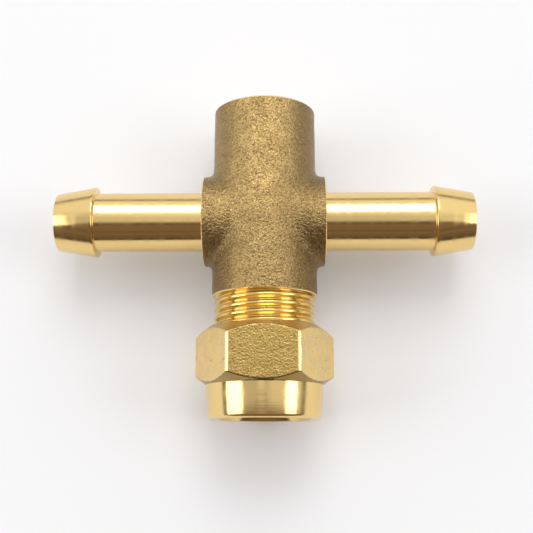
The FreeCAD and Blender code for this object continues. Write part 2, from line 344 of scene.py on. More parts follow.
# %% Face the four ends
EDGE_BREAK = 0.14 * MM
DISH = 0.05 * MM
FACES = (
    (ALONG_BARREL, BARREL_TOP, BARREL_TOP_RADIUS, 2.0),
    (-ALONG_BARREL, BARREL_FOOT, BARREL_FOOT_RADIUS, 1.2),
    (ALONG_TAIL, BOSS_REACH, BOSS_RADIUS, 1.0),
    (-ALONG_TAIL, BOSS_REACH, BOSS_RADIUS, 1.0),
)


def face_off(piece, direction, reach, radius, edge):
    """Cut an end square and draw its rim out to the face, narrower by the edge break."""
    drop = EDGE_BREAK * edge
    place = CROSSING + direction * (reach - drop)
    edit(piece)
    cut_square(place, direction)
    rim(piece, lambda point: abs((point - place).dot(direction)) < SAME_PLACE)
    bpy.ops.mesh.extrude_region_move(TRANSFORM_OT_translate={"value": direction * drop})
    share = 1 - drop / radius
    squeeze = [1 if abs(part) > 0.5 else share for part in direction]
    bpy.ops.transform.resize(value=squeeze, center_override=CROSSING)
    close()


for direction, reach, radius, edge in FACES:
    face_off(casting, direction, reach, radius, edge)
print(f"casting faced: {len(casting.data.polygons)} faces")

# %% [markdown]
# ## The hose tails
#
# Each tail is turned from the casting: a plain stem, then one barb with a square back that
# holds the hose, and a cone that lets the hose on. The outline goes round the nose and
# back into the bore, and stops where the crossing of the water passages will meet it.

# %% Turn both tails
BARB_BACK = 28.3 * MM
BARB_RADIUS = 5.95 * MM
BARB_LAND = 0.35 * MM
NOSE_RADIUS = 4.85 * MM
BORE_MEETS = 11.0 * MM
WATERWAY_MEETS = 7.0 * MM

TAIL = (
    (BOSS_REACH - DISH, TAIL_RADIUS),
    (BARB_BACK, TAIL_RADIUS, 0.12 * MM),
    (BARB_BACK, BARB_RADIUS, 0.16 * MM),
    (BARB_BACK + BARB_LAND, BARB_RADIUS, 0.1 * MM),
    (TAIL_END, NOSE_RADIUS, 0.15 * MM),
    (TAIL_END, TAIL_BORE, 0.2 * MM),
    (BORE_MEETS, TAIL_BORE),
)
tails = []
for side in (1, -1):
    stations = [(side * station[0], *station[1:]) for station in TAIL]
    tails.append(turned(f"tail_{side}", ALONG_TAIL, stations))
print("tails:", [len(tail.data.polygons) for tail in tails])

# %% [markdown]
# ## The thread
#
# A pipe thread is a groove that climbs one pitch in each turn. Blender's Screw operator
# sweeps one tooth, from one crest to the next, once round such a helix, and an Array stacks
# that turn one pitch apart. The stack is then cut square at both ends. Roots are round and
# crests are flats with round corners, as a worn die leaves them, so crests catch the light.

# %% One tooth, swept into a thread
PITCH = 1.337 * MM
THREAD_DEPTH = 0.68 * MM
THREAD_CREST = 8.33 * MM
FLANK = math.radians(27.5)
CREST_ROUND = 0.11 * MM
ROOT_ROUND = 0.18 * MM
THREAD_START = 0.62
ARC_PARTS = 4

turn = math.pi / 2 - FLANK
arc_width = (CREST_ROUND + ROOT_ROUND) * math.sin(turn)
arc_height = (CREST_ROUND + ROOT_ROUND) * (1 - math.cos(turn))
CREST_FLAT = PITCH - 2 * (arc_width + (THREAD_DEPTH - arc_height) * math.tan(FLANK))
print(f"crest flat {CREST_FLAT / MM:.3f} mm")


def tooth(crest, depth, shift):
    """Stations of one pitch: a crest with its two round corners, a root, the next crest."""
    stations = []
    for part in range(-ARC_PARTS, ARC_PARTS + 1):
        angle = turn * part / ARC_PARTS
        flat = math.copysign(CREST_FLAT / 2, angle) if part else 0.0
        place = shift + flat + CREST_ROUND * math.sin(angle)
        stations.append((place, crest - CREST_ROUND * (1 - math.cos(angle))))
    for part in range(-ARC_PARTS, ARC_PARTS + 1):
        angle = turn * part / ARC_PARTS
        place = shift + PITCH / 2 + ROOT_ROUND * math.sin(angle)
        stations.append((place, crest - depth + ROOT_ROUND * (1 - math.cos(angle))))
    stations.append((stations[0][0] + PITCH, stations[0][1]))
    return stations


def thread(name, crest, depth, top, bottom):
    """A threaded surface between two reaches below the crossing. Its turns are counted from
    the barrel's foot, so that a nut's thread meshes with the spigot's."""
    turns = math.ceil((bottom - top) / PITCH) + 3
    turns_above = math.ceil((BARREL_FOOT - top) / PITCH) + 1
    start = -BARREL_FOOT + (turns_above + THREAD_START) * PITCH
    points = [station_point(ALONG_BARREL, *station) for station in tooth(crest, depth, start)]
    piece = wire(name, points)
    bpy.ops.mesh.select_all(action="SELECT")
    bpy.ops.mesh.screw(steps=STEPS, turns=1, center=CROSSING, axis=-ALONG_BARREL)
    close()
    use_modifier(
        piece, "ARRAY", count=turns, use_relative_offset=False, use_constant_offset=True,
        constant_offset_displace=-ALONG_BARREL * PITCH,
    )
    edit(piece)
    bpy.ops.mesh.select_all(action="SELECT")
    bpy.ops.mesh.remove_doubles(threshold=SAME_PLACE)
    for reach, direction in ((top, ALONG_BARREL), (bottom, -ALONG_BARREL)):
        cut_square(CROSSING - ALONG_BARREL * reach, direction)
    close()
    spread = [CROSSING.y - point.co.y for point in piece.data.vertices]
    print(f"{name}: reach {min(spread) / MM:.2f} to {max(spread) / MM:.2f} mm,"
          f" {len(piece.data.polygons)} faces")
    return piece


spigot = thread("spigot_thread", THREAD_CREST, THREAD_DEPTH, BARREL_FOOT - DISH, SPIGOT_END)

# %% [markdown]
# The end of the spigot has a lead-in chamfer, so that the nut finds the thread. Points of
# the thread that would stand outside that cone are drawn in to it.

# %% Lead-in chamfer on the thread
LEAD_IN = 0.8 * MM


def draw_in(piece, end_reach, end_radius):
    """Keep a threaded surface inside a 45 degree cone that opens from its end."""
    for point in piece.data.vertices:
        offset = point.co - CROSSING
        radius = from_axis(point.co, ALONG_BARREL)
        allowed = end_radius + (offset.y + end_reach)
        if radius > allowed:
            point.co.x = CROSSING.x + offset.x * allowed / radius
            point.co.z = CROSSING.z + offset.z * allowed / radius


draw_in(spigot, SPIGOT_END, THREAD_CREST - LEAD_IN)

# %% [markdown]
# ## The water passages
#
# Inside, the barrel's bore is stepped: a socket for a pipe at each end and a narrower
# waterway between them, crossed by the passage through the tails. The crossing is the
# union of two rods, which is a light job for a boolean. The rest is turned, open at both
# ends, with rings that match those of the pieces next to it, so that all welds shut.

# %% Turn the bores and make the crossing
SOCKET_RADIUS = 6.05 * MM
SOCKET_DEPTH = 10.0 * MM
SOCKET_LEAD = 0.5 * MM
PIPE_RADIUS = 6.1 * MM
PIPE_STOP = 14.5 * MM
RING_CONE_RADIUS = 7.0 * MM
RING_CONE = math.radians(30)

top_bore = turned("top_bore", ALONG_BARREL, (
    (BARREL_TOP - DISH, SOCKET_RADIUS + SOCKET_LEAD),
    (BARREL_TOP - SOCKET_LEAD, SOCKET_RADIUS),
    (BARREL_TOP - SOCKET_DEPTH, SOCKET_RADIUS, 0.15 * MM),
    (BARREL_TOP - SOCKET_DEPTH, WATERWAY, 0.15 * MM),
    (WATERWAY_MEETS, WATERWAY),
))
cone_length = (RING_CONE_RADIUS - PIPE_RADIUS) / math.tan(RING_CONE)
foot_bore = turned("foot_bore", ALONG_BARREL, (
    (DISH - SPIGOT_END, RING_CONE_RADIUS),
    (cone_length - SPIGOT_END, PIPE_RADIUS),
    (-PIPE_STOP, PIPE_RADIUS, 0.15 * MM),
    (-PIPE_STOP, WATERWAY, 0.15 * MM),
    (-WATERWAY_MEETS, WATERWAY),
))
passage = turned("passage", ALONG_BARREL, (
    (WATERWAY_MEETS, WATERWAY), (-WATERWAY_MEETS, WATERWAY),
), close_ends=True)
cross_passage = turned("cross_passage", ALONG_TAIL, (
    (BORE_MEETS, TAIL_BORE), (-BORE_MEETS, TAIL_BORE),
), close_ends=True)
use_modifier(passage, "BOOLEAN", operation="UNION", object=cross_passage, solver="EXACT")
bpy.data.objects.remove(cross_passage)


def is_cap(face):
    offset = face.center - CROSSING
    return abs(offset.y) > WATERWAY_MEETS - SAME_PLACE or abs(offset.x) > BORE_MEETS - SAME_PLACE


edit(passage)
caps = pick(passage, "FACE", is_cap)
bpy.ops.mesh.delete(type="FACE")
close()
print(f"passages: {caps} cap faces opened")

# %% [markdown]
# ## One skin for the whole tee
#
# The parts are joined and welded. Between the casting's uneven rims and the turned rings
# there is still a gap at each end, which the Bridge operator fills with the machined faces.
# Bridge needs a little depth between two rims to tell which way they run.

# %% Finishes as material slots
FINISHES = {}


def finish(name):
    """A material by its name, made once; its nodes come later in the lesson."""
    if name not in FINISHES:
        FINISHES[name] = bpy.data.materials.new(name)
        FINISHES[name].use_nodes = True
    return FINISHES[name]


def wear(piece, name):
    """Give a whole piece one finish."""
    piece.data.materials.clear()
    piece.data.materials.append(finish(name))


wear(casting, "cast_skin")
for tail in tails:
    wear(tail, "tail_brass")
wear(spigot, "thread_brass")
for bore in (top_bore, foot_bore, passage):
    wear(bore, "bore_brass")

# %% Join, bridge and close
tee = merge_pieces(casting, *tails, spigot, top_bore, foot_bore, passage)
tee.name = "brass_tee"


def repaint(piece, name, test):
    """Give the faces that pass a test another finish."""
    slots = piece.data.materials
    if name not in slots:
        slots.append(finish(name))
    number = slots.find(name)
    changed = 0
    for face in piece.data.polygons:
        if test(face):
            face.material_index = number
            changed += 1
    return changed


def bridge_rims(piece, direction, reach, gap=DISH):
    """Fill the ring between the open rim at a reach and the one that lies a gap behind it."""
    edit(piece)

    def on_rim(point):
        behind = reach - (point - CROSSING).dot(direction)
        return -2 * SAME_PLACE < behind < gap + 2 * SAME_PLACE

    rim(piece, on_rim)
    bpy.ops.mesh.bridge_edge_loops()
    close()


def close_up(piece):
    """Turn all faces outwards, and count the edges that are still open."""
    edit(piece)
    bpy.ops.mesh.select_all(action="SELECT")
    bpy.ops.mesh.normals_make_consistent(inside=False)
    bpy.ops.mesh.select_all(action="DESELECT")
    bpy.ops.mesh.select_non_manifold(extend=False)
    close()
    return sum(edge.select for edge in piece.data.edges)


END_FACES = (
    (ALONG_BARREL, BARREL_TOP),
    (-ALONG_BARREL, BARREL_FOOT),
    (ALONG_TAIL, BOSS_REACH),
    (-ALONG_TAIL, BOSS_REACH),
    (-ALONG_BARREL, SPIGOT_END),
)
for direction, reach in END_FACES:
    bridge_rims(tee, direction, reach)
open_edges = close_up(tee)
print(f"tee: {len(tee.data.polygons)} faces, {open_edges} open edges")

FACING = 0.6


def is_machined_face(face):
    offset = face.center - CROSSING
    for direction, reach in END_FACES[:4]:
        along = offset.dot(direction)
        if abs(along - reach + EDGE_BREAK) < EDGE_BREAK + SAME_PLACE:
            if from_axis(face.center, direction) > TAIL_RADIUS and face.normal.dot(direction) > FACING:
                return True
    return False


print("machined faces:", repaint(tee, "faced_brass", is_machined_face))
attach(tee, "tee")
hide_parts("tee_body")

# %% [markdown]
# ## The nut
#
# The nut is cut from forged bar: turned chamfers above and below take the corners off its
# six flats, and a round collar is turned below them. So a turned blank is intersected with
# a six-sided prism, whose long edges are beveled first, because spanners have worn them
# flat. The result is remeshed like the casting, since forged flats are rough and dented.

# %% Blank and prism
ACROSS_FLATS = nut_high.z - nut_low.z
HEX_SIDES = 6
HALF_SIDE = math.radians(180 / HEX_SIDES)
HEX_CORNER = ACROSS_FLATS / 2 / math.cos(HALF_SIDE)
HEX_HEIGHT = 9.5 * MM
HEX_LOW = NUT_TOP + HEX_HEIGHT
HEX_TOP_RADIUS = 9.1 * MM
HEX_TOP_SLOPE = math.radians(38)
HEX_LOW_SLOPE = math.radians(37.5)
COLLAR_RADIUS = 9.625 * MM
COLLAR_END_RADIUS = 9.2 * MM
BLANK_RADIUS = HEX_CORNER + 1.0 * MM
WORN_CORNER = 0.36 * MM
NUT_VOXEL = 0.16 * MM
NUT_ROUNDS = 2
FORGED_WAVE = 1.3 * MM
FORGED_DEPTH = 0.07 * MM

top_fall = (BLANK_RADIUS - HEX_TOP_RADIUS) * math.tan(HEX_TOP_SLOPE)
low_rise = (BLANK_RADIUS - COLLAR_RADIUS) * math.tan(HEX_LOW_SLOPE)
hexagon = turned("hexagon", ALONG_BARREL, (
    (SPARE - NUT_TOP, HEX_TOP_RADIUS),
    (-NUT_TOP, HEX_TOP_RADIUS),
    (-NUT_TOP - top_fall, BLANK_RADIUS),
    (-HEX_LOW + low_rise, BLANK_RADIUS),
    (-HEX_LOW, COLLAR_RADIUS),
    (-HEX_LOW - SPARE, COLLAR_RADIUS),
), close_ends=True)
bpy.ops.object.select_all(action="DESELECT")
bpy.ops.mesh.primitive_cylinder_add(
    vertices=HEX_SIDES, radius=HEX_CORNER, depth=2 * (NUT_END - NUT_TOP),
    location=CROSSING - ALONG_BARREL * (NUT_TOP + NUT_END) / 2,
    rotation=(math.pi / 2, HALF_SIDE, 0),
)
prism = bpy.context.object
bpy.ops.object.transform_apply(location=True, rotation=True, scale=True)


def edge_run(piece, edge):
    """The way from one end of an edge to the other."""
    first, second = (piece.data.vertices[v].co for v in edge.vertices)
    return second - first


edit(prism)
corners = pick(prism, "EDGE", lambda edge: abs(edge_run(prism, edge).y) > NUT_END - NUT_TOP)
bpy.ops.mesh.bevel(offset=WORN_CORNER, segments=1, affect="EDGES")
close()
use_modifier(hexagon, "BOOLEAN", operation="INTERSECT", object=prism, solver="EXACT")
bpy.data.objects.remove(prism)
use_modifier(hexagon, "REMESH", mode="VOXEL", voxel_size=NUT_VOXEL)
edit(hexagon)
bpy.ops.mesh.select_all(action="SELECT")
bpy.ops.mesh.vertices_smooth(factor=0.5, repeat=NUT_ROUNDS)
close()
roughen(hexagon, "hammered", FORGED_WAVE, FORGED_DEPTH, level=1.0)
print(f"hexagon: {corners} corners, {len(hexagon.data.polygons)} faces")

# %% Face the top of the hexagon, and cut it off where the collar begins
COLLAR_GAP = 0.1 * MM
face_off(hexagon, ALONG_BARREL, -NUT_TOP, HEX_TOP_RADIUS, 0.8)
edit(hexagon)
cut_square(CROSSING - ALONG_BARREL * (HEX_LOW - COLLAR_GAP), -ALONG_BARREL)
close()

# %% [markdown]
# Inside, the nut has the spigot's thread with a little room round it, and the cone that
# presses its ring on to the pipe. The collar, mouth, pipe hole and cone are one outline.

# %% Collar, seat and inner thread
THREAD_ROOM = 0.08 * MM
RELIEF = 0.12 * MM
NUT_LEAD_IN = 0.3 * MM
HOLE_RADIUS = 6.2 * MM
MOUTH_RADIUS = 7.6 * MM
MOUTH_DEPTH = 1.2 * MM
MOUTH_FLARE = math.radians(27)
SEAT_END = 28.86 * MM
SEAT_SHOULDER = 0.4 * MM

bore_radius = THREAD_CREST + RELIEF
seat_start = SEAT_END - (bore_radius - HOLE_RADIUS)
thread_end = seat_start - SEAT_SHOULDER
throat = MOUTH_RADIUS - MOUTH_DEPTH * math.tan(MOUTH_FLARE)
collar = turned("collar", ALONG_BARREL, (
    (-HEX_LOW, COLLAR_RADIUS),
    (-HEX_LOW - DISH, COLLAR_RADIUS),
    (-NUT_END, COLLAR_END_RADIUS, 0.5 * MM),
    (-NUT_END, MOUTH_RADIUS, 0.12 * MM),
    (MOUTH_DEPTH - NUT_END, throat),
    (MOUTH_DEPTH + throat - HOLE_RADIUS - NUT_END, HOLE_RADIUS, 0.12 * MM),
    (-SEAT_END, HOLE_RADIUS, 0.1 * MM),
    (-seat_start, bore_radius),
    (-thread_end - DISH, bore_radius),
))
lead_in = turned("lead_in", ALONG_BARREL, (
    (-NUT_TOP - DISH, bore_radius + NUT_LEAD_IN),
    (-NUT_TOP - NUT_LEAD_IN, bore_radius),
))
inner_thread = thread(
    "inner_thread", THREAD_CREST + THREAD_ROOM, THREAD_DEPTH,
    NUT_TOP + NUT_LEAD_IN + DISH, thread_end,
)

# %% Join the nut
wear(hexagon, "forged_brass")
wear(collar, "collar_brass")
wear(lead_in, "collar_brass")
wear(inner_thread, "thread_brass")
nut = merge_pieces(hexagon, collar, lead_in, inner_thread)
nut.name = "brass_nut"
bridge_rims(nut, ALONG_BARREL, -NUT_TOP)
bridge_rims(nut, ALONG_BARREL, -NUT_TOP - NUT_LEAD_IN)
bridge_rims(nut, ALONG_BARREL, -thread_end)
bridge_rims(nut, -ALONG_BARREL, HEX_LOW, COLLAR_GAP)
open_edges = close_up(nut)
print(f"nut: {len(nut.data.polygons)} faces, {open_edges} open edges")

# %% Finishes of the lathe's cone under the hexagon, painted dark as shade, and of the rubbed corners
FLAT_LEAN = math.cos(math.radians(14))
CONE_LEAN = math.cos(math.radians(60))
MOST_SLOPE = 0.3


def is_forged(face):
    return nut.data.materials[face.material_index].name == "forged_brass"


def is_low_cone(face):
    return is_forged(face) and face.normal.dot(-ALONG_BARREL) > CONE_LEAN


def is_worn_corner(face):
    """Whether a forged face stands along the nut, and squarely on none of its flats."""
    if not is_forged(face) or abs(face.normal.y) > MOST_SLOPE:
        return False
    flats = [math.radians(360 / HEX_SIDES * side) for side in range(HEX_SIDES)]
    across = (face.normal.z * math.cos(a) + face.normal.x * math.sin(a) for a in flats)
    return max(across) < FLAT_LEAN


print("cone faces:", repaint(nut, "shaded_cone_brass", is_low_cone),
      "corner faces:", repaint(nut, "rubbed_brass", is_worn_corner))
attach(nut, "nut")
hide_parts("compression_nut")

# %% [markdown]
# ## The ring
#
# The compression ring is a short sleeve with a cone at each end. Nearly all of it is hidden
# in the nut, but it is a piece of its own, so it is turned like the others.

# %% Turn the ring
RING_BORE = 6.1 * MM
RING_END_RADIUS = 6.4 * MM
RING_RADIUS = 7.15 * MM
RING_ROUND = 0.08 * MM

ring_cone = (RING_RADIUS - RING_END_RADIUS) / math.tan(RING_CONE)
ring_middle = (RING_TOP + RING_END) / 2
ring = turned("brass_ring", ALONG_BARREL, (
    (-ring_middle, RING_BORE),
    (-RING_TOP, RING_BORE, RING_ROUND),
    (-RING_TOP, RING_END_RADIUS, RING_ROUND),
    (-RING_TOP - ring_cone, RING_RADIUS, RING_ROUND),
    (-RING_END + ring_cone, RING_RADIUS, RING_ROUND),
    (-RING_END, RING_END_RADIUS, RING_ROUND),
    (-RING_END, RING_BORE, RING_ROUND),
    (-ring_middle, RING_BORE),
))
wear(ring, "collar_brass")
print(f"ring: {close_up(ring)} open edges")
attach(ring, "ring")
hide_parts("compression_ring")

# %% Soft shading, with an edge wherever two faces meet at more than a set angle
SHARP_ANGLE = math.radians(38)

for piece in (tee, nut, ring):
    select_only(piece)
    bpy.ops.object.shade_smooth_by_angle(angle=SHARP_ANGLE)

# %% [markdown]
# ## Effects that several finishes share
#
# Each effect is a node group that is built once: the grain of sand or forging, the fine
# lines that a lathe tool leaves, and the nicks of handling. A group gives heights and masks
# only. The material that uses it decides what they do to its colour, gloss and relief. All
# of them work in millimetres of the piece's own space.

# %% Helpers for node trees
def put(tree, kind, inputs=None, **settings):
    """Add a node, set its properties, and feed its inputs with values or other sockets."""
    made = tree.nodes.new("ShaderNode" + kind)
    for name, value in settings.items():
        setattr(made, name, value)
    for name, value in (inputs or {}).items():
        if isinstance(value, bpy.types.NodeSocket):
            tree.links.new(value, made.inputs[name])
        else:
            made.inputs[name].default_value = value
    return made


def maths(tree, operation, *values):
    """The result of a Math node."""
    return put(tree, "Math", dict(enumerate(values)), operation=operation).outputs[0]


def ramp(tree, value, low, high, to_low=0.0, to_high=1.0):
    """A smooth step of a value from one level to another."""
    inputs = {"Value": value, 1: low, 2: high, 3: to_low, 4: to_high}
    return put(tree, "MapRange", inputs, interpolation_type="SMOOTHSTEP").outputs["Result"]


def blend_colour(tree, factor, first, second):
    """A colour between two, by a factor."""
    made = put(tree, "Mix", {"Factor": factor}, data_type="RGBA")
    for socket, value in (("A_Color", first), ("B_Color", second)):
        target = next(i for i in made.inputs if i.identifier == socket)
        if isinstance(value, bpy.types.NodeSocket):
            tree.links.new(value, target)
        else:
            target.default_value = (*value, 1)
    return next(o for o in made.outputs if o.identifier == "Result_Color")


def effect(name, inputs, outputs):
    """A node group with float inputs and outputs, and its two end nodes."""
    tree = bpy.data.node_groups.new(name, "ShaderNodeTree")
    for title, value in inputs.items():
        socket = tree.interface.new_socket(title, in_out="INPUT", socket_type="NodeSocketFloat")
        socket.default_value = value
    for title in outputs:
        tree.interface.new_socket(title, in_out="OUTPUT", socket_type="NodeSocketFloat")
    return tree, tree.nodes.new("NodeGroupInput"), tree.nodes.new("NodeGroupOutput")


def millimetres(tree):
    """Object coordinates in millimetres."""
    place = put(tree, "TexCoord").outputs["Object"]
    return put(tree, "VectorMath", {0: place, "Scale": 1 / MM}, operation="SCALE").outputs[0]


def place_parts(tree):
    """Object coordinates in millimetres, as X, Y and Z."""
    return put(tree, "SeparateXYZ", {0: millimetres(tree)}).outputs


def height_off_axis(tree):
    """How far above or below the barrel's axis a place lies, in millimetres."""
    offset = maths(tree, "SUBTRACT", place_parts(tree)["Z"], CROSSING.z / MM)
    return maths(tree, "ABSOLUTE", offset)


# %% Grain: lumps with pits between them, and a slow mottling
grain, grain_in, grain_out = effect(
    "metal_grain", {"Lump Size": 0.4, "Mottle Size": 3.0}, ("Height", "Pits", "Mottle"))
place = millimetres(grain)
fineness = maths(grain, "DIVIDE", 1.0, grain_in.outputs["Lump Size"])
slowness = maths(grain, "DIVIDE", 1.0, grain_in.outputs["Mottle Size"])
lumps = put(grain, "TexNoise", {
    "Vector": place, "Scale": fineness, "Detail": 2.0, "Roughness": 0.55, "Distortion": 0.6,
}).outputs["Fac"]
cells = put(grain, "TexVoronoi", {"Vector": place, "Scale": fineness, "Smoothness": 0.35},
            feature="SMOOTH_F1").outputs["Distance"]
mottle = put(grain, "TexNoise", {
    "Vector": place, "Scale": slowness, "Detail": 3.0, "Roughness": 0.6,
}).outputs["Fac"]
height = maths(grain, "SUBTRACT", lumps, maths(grain, "MULTIPLY", cells, 0.45))
grain.links.new(height, grain_out.inputs["Height"])
grain.links.new(ramp(grain, lumps, 0.52, 0.36), grain_out.inputs["Pits"])
grain.links.new(mottle, grain_out.inputs["Mottle"])

# %% Tool lines: fine grooves round a turned surface, strongest where the tool chattered
lines, lines_in, lines_out = effect(
    "tool_lines", {"Along": 0.0, "Line Width": 0.12}, ("Height", "Sheen"))
fine = maths(lines, "DIVIDE", lines_in.outputs["Along"], lines_in.outputs["Line Width"])
groove = put(lines, "TexNoise", {"W": fine, "Scale": 1.0, "Detail": 2.0},
             noise_dimensions="1D").outputs["Fac"]
slow = maths(lines, "MULTIPLY", lines_in.outputs["Along"], 0.55)
band = put(lines, "TexNoise", {"W": slow, "Scale": 1.0, "Detail": 1.0},
           noise_dimensions="1D").outputs["Fac"]
lines.links.new(maths(lines, "MULTIPLY", groove, ramp(lines, band, 0.3, 0.7, 0.35, 1.0)),
                lines_out.inputs["Height"])
lines.links.new(band, lines_out.inputs["Sheen"])

# %% Handling: sparse nicks
handling, handling_in, handling_out = effect(
    "handling_marks", {"Nick Spacing": 2.5}, ("Nicks",))
spacing = maths(handling, "DIVIDE", 1.0, handling_in.outputs["Nick Spacing"])
place = millimetres(handling)
bent = put(handling, "TexNoise", {"Vector": place, "Scale": 1.3}).outputs["Color"]
bent = put(handling, "VectorMath", {0: place, 1: bent}, operation="ADD").outputs[0]
nick = put(handling, "TexVoronoi", {"Vector": bent, "Scale": spacing}).outputs["Distance"]
handling.links.new(ramp(handling, nick, 0.13, 0.05), handling_out.inputs["Nicks"])
print("effects:", [tree.name for tree in (grain, lines, handling)])

# %% [markdown]
# ## The finishes
#
# All of it is one alloy. What differs is how its skin was made: sand casting leaves a dull
# brown grain, forging a paler rough skin with rubbed corners, and the lathe a bright surface
# with faint lines round it.

# %% Colours of the brass
BRIGHT = (0.88, 0.63, 0.25)
PALE = (0.80, 0.60, 0.28)
GOLD = (0.78, 0.535, 0.15)
SHADED = (0.20, 0.115, 0.02)
FORGED = (0.50, 0.345, 0.11)
SKIN = (0.61, 0.425, 0.17)
DULL = (0.44, 0.30, 0.12)
# The dark brown of the casting's painted shade.
SHADE_BROWN = (0.27, 0.185, 0.08)
BROWN = (0.21, 0.13, 0.05)


def use_effect(tree, group, **values):
    """Place a group in a material with its own values."""
    made = tree.nodes.new("ShaderNodeGroup")
    made.node_tree = group
    for name, value in values.items():
        socket = made.inputs[name.replace("_", " ")]
        if isinstance(value, bpy.types.NodeSocket):
            tree.links.new(value, socket)
        else:
            socket.default_value = value
    return made.outputs


def brass(name, colour, roughness, heights):
    """Set up a finish: metal with a colour, a roughness and layers of (height, mm) relief."""
    tree = finish(name).node_tree
    surface = tree.nodes["Principled BSDF"]
    surface.inputs["Metallic"].default_value = 1.0
    for socket, value in (("Base Color", colour), ("Roughness", roughness)):
        if isinstance(value, bpy.types.NodeSocket):
            tree.links.new(value, surface.inputs[socket])
        else:
            surface.inputs[socket].default_value = value
    normal = None
    for height, depth in heights:
        inputs = {"Height": height, "Strength": 1.0, "Distance": depth * MM}
        if normal:
            inputs["Normal"] = normal
        normal = put(tree, "Bump", inputs).outputs["Normal"]
    tree.links.new(normal, surface.inputs["Normal"])


# %% Sand-cast skin, with painted shade that darkens its flanks, its foot and its +X side, and leaves it paler along its top
# Where the casting's painted shade begins and ends, in millimetres, and how dark each part of it gets.
SHADE_FREE_HEIGHT = 8.2
FLANK_SHADE_HEIGHT = 5.9
FOOT_START = CROSSING.y / MM + 5.0
FOOT_END = CROSSING.y / MM - 7.0
FOOT_SHADE = 0.55
SIDE_START = 0.5
SIDE_END = 5.0
SIDE_SHADE = 0.35
PAINTED_SHADE_SHARE = 0.66
PIT_SHARE = 0.75
SAND_DEPTH = 0.18

tree = finish("cast_skin").node_tree
parts = place_parts(tree)
# Painted shade: the flanks, the part towards the foot and the +X side are blended towards a dark
# brown, so the top, where the light falls, stays paler.
flank_shade = ramp(tree, height_off_axis(tree), SHADE_FREE_HEIGHT, FLANK_SHADE_HEIGHT)
foot = ramp(tree, parts["Y"], FOOT_START, FOOT_END, 0.0, FOOT_SHADE)
side_shade = ramp(tree, parts["X"], SIDE_START, SIDE_END, 0.0, SIDE_SHADE)
painted_shade = maths(tree, "ADD", maths(tree, "ADD", flank_shade, foot), side_shade)
painted_shade = maths(tree, "MULTIPLY", painted_shade, PAINTED_SHADE_SHARE)
sand = use_effect(tree, grain, Lump_Size=0.34, Mottle_Size=3.2)
colour = blend_colour(tree, ramp(tree, sand["Mottle"], 0.35, 0.65), DULL, SKIN)
colour = blend_colour(tree, painted_shade, colour, SHADE_BROWN)
# Painted shade: the pits between the grain's lumps are darkened towards brown, as shade in the
# hollows.
colour = blend_colour(tree, maths(tree, "MULTIPLY", sand["Pits"], PIT_SHARE), colour, BROWN)
rough = ramp(tree, sand["Mottle"], 0.3, 0.7, 0.30, 0.39)
brass("cast_skin", colour, rough, ((sand["Height"], SAND_DEPTH),))

# %% Turned brass, with lines round the tails' axis or round the barrel's
LINE_WIDTH = 0.11
CHATTER_SHIFT = 0.25
CHATTER_EDGE = 1.2
CHATTER_FULL = 0.6
SKIN_DEPTH = 0.004
NICK_DEPTH = -0.003


def turned_finish(name, axis, line_depth, roughness, deep=BRIGHT, chatter=0.0):
    """Brass with tool lines across an axis. Depths are in millimetres, and the chatter is
    that of the deeper ripples in a narrow patch along the middle."""
    tree = finish(name).node_tree
    parts = place_parts(tree)
    tool = use_effect(tree, lines, Along=parts[axis], Line_Width=LINE_WIDTH)
    skin = use_effect(tree, grain, Lump_Size=0.9, Mottle_Size=5.0)
    nicks = use_effect(tree, handling, Nick_Spacing=5.0)["Nicks"]
    colour = blend_colour(tree, maths(tree, "MULTIPLY", skin["Mottle"], 0.5), deep, PALE)
    rough = ramp(tree, tool["Sheen"], 0.3, 0.7, roughness * 0.8, roughness * 1.3)
    off_middle = maths(tree, "ABSOLUTE", maths(tree, "ADD", parts["X"], CHATTER_SHIFT))
    patch = ramp(tree, off_middle, CHATTER_EDGE, CHATTER_FULL)
    brass(name, colour, rough, (
        (tool["Height"], line_depth), (maths(tree, "MULTIPLY", tool["Height"], patch), chatter),
        (skin["Height"], SKIN_DEPTH), (nicks, NICK_DEPTH),
    ))


turned_finish("tail_brass", "X", 0.0024, 0.16)
turned_finish("collar_brass", "Y", 0.0045, 0.14, chatter=0.012)
# Painted shade: the cone under the hexagon is given the dark SHADED brown, as the shade where the
# flats overhang it.
turned_finish("shaded_cone_brass", "Y", 0.0032, 0.22, SHADED)
turned_finish("thread_brass", "Y", 0.0015, 0.17, GOLD)
turned_finish("rubbed_brass", "Y", 0.0020, 0.22)
turned_finish("bore_brass", "Y", 0.004, 0.28)
turned_finish("faced_brass", "Z", 0.003, 0.24)

# %% Forged flats, with scratches along the nut
FLAT_START = 9.7
FLAT_FULL = 9.9
NICK_SHARE = 0.75
SCRATCH_SCALE = (3.5, 0.45, 3.5)
SCRATCH_START = 0.60
SCRATCH_FULL = 0.70
SCRATCH_SHARE = 0.45
FORGED_GRAIN_DEPTH = 0.10
FORGED_NICK_DEPTH = -0.05
SCRATCH_DEPTH = -0.03

tree = finish("forged_brass").node_tree
skin = use_effect(tree, grain, Lump_Size=0.34, Mottle_Size=2.6)
nicks = use_effect(tree, handling, Nick_Spacing=1.5)["Nicks"]
rough_flat = ramp(tree, height_off_axis(tree), FLAT_START, FLAT_FULL)
colour = blend_colour(tree, ramp(tree, skin["Mottle"], 0.35, 0.65), PALE, BRIGHT)
colour = blend_colour(tree, rough_flat, colour, FORGED)
pitted = maths(tree, "MULTIPLY", skin["Pits"], ramp(tree, rough_flat, 0.0, 1.0, 0.1, 0.25))
pitted = maths(tree, "MAXIMUM", pitted, maths(tree, "MULTIPLY", nicks, NICK_SHARE))
colour = blend_colour(tree, pitted, colour, BROWN)
drawn = put(tree, "Mapping", {"Vector": millimetres(tree), "Scale": SCRATCH_SCALE}).outputs[0]
scratch = put(tree, "TexNoise", {"Vector": drawn, "Scale": 1.0, "Detail": 3.0}).outputs["Fac"]
